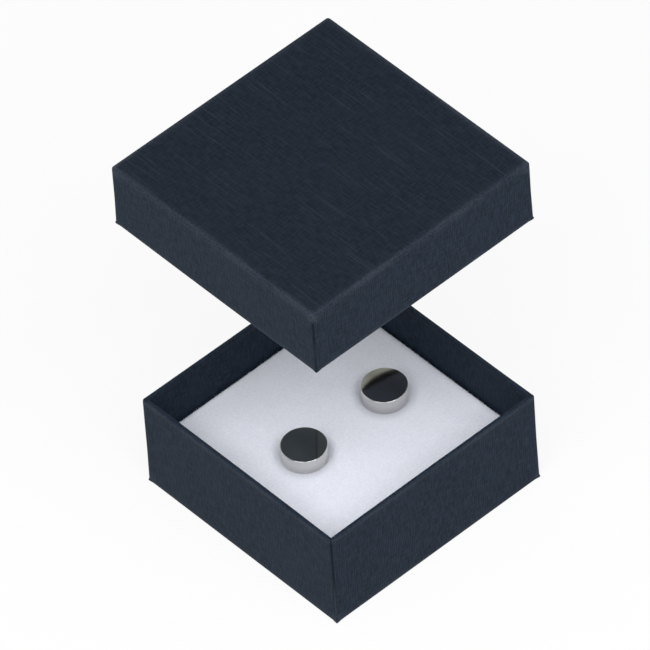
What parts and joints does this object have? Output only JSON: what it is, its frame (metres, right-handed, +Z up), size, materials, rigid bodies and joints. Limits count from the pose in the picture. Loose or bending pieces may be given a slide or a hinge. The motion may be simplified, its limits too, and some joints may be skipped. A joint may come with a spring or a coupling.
{
  "type": "earring box",
  "caption": "Square paper-covered board box with a lift-off lid, a foam pad and a pair of round disc stud earrings pinned in the pad.",
  "frame": {"origin": "middle of the tray's underside, where the box stands on a table", "axes": "+Z up out of the tray and the way the lid lifts off; X and Y along the sides; -Y is the front"},
  "size_m": [0.0542, 0.0542, 0.0841],
  "materials": {
    "covering_paper": "navy linen-embossed covering paper, matt",
    "greyboard": "plain grey recycled board",
    "corner_tape": "gummed kraft tape",
    "foam": "soft white flocked foam",
    "polished_steel": "mirror polished",
    "steel_pin": "bright drawn wire",
    "spring_steel": "bright rolled strip"
  },
  "bodies": {
    "base": {"base_board": "greyboard", "base_wrap": "covering_paper", "base_liner": "covering_paper", "base_tape_front_left": "corner_tape", "base_tape_front_right": "corner_tape", "base_tape_back_right": "corner_tape", "base_tape_back_left": "corner_tape"},
    "lid": {"lid_board": "greyboard", "lid_wrap": "covering_paper", "lid_liner": "covering_paper", "lid_tape_front_left": "corner_tape", "lid_tape_front_right": "corner_tape", "lid_tape_back_right": "corner_tape", "lid_tape_back_left": "corner_tape"},
    "pad": {"pad": "foam"},
    "left_stud": {"left_disc": "polished_steel", "left_post": "steel_pin"},
    "right_stud": {"right_disc": "polished_steel", "right_post": "steel_pin"},
    "left_clutch": {"left_clutch": "spring_steel"},
    "right_clutch": {"right_clutch": "spring_steel"}
  },
  "joints": [
    {"name": "lid_lift", "type": "slide", "parent": "base", "child": "lid", "axis": [0, 0, 1], "range_m": [-0.06085, 0.012]},
    {"name": "pad_lift", "type": "slide", "parent": "base", "child": "pad", "axis": [0, 0, 1], "range_m": [0, 0.024]},
    {"name": "left_stud_lift", "type": "slide", "parent": "pad", "child": "left_stud", "axis": [0, 0, 1], "range_m": [0, 0.01]},
    {"name": "right_stud_lift", "type": "slide", "parent": "pad", "child": "right_stud", "axis": [0, 0, 1], "range_m": [0, 0.01]},
    {"name": "left_clutch_slide", "type": "slide", "parent": "pad", "child": "left_clutch", "axis": [0, 0, -1], "range_m": [0, 0.0033]},
    {"name": "right_clutch_slide", "type": "slide", "parent": "pad", "child": "right_clutch", "axis": [0, 0, -1], "range_m": [0, 0.0033]}
  ]
}
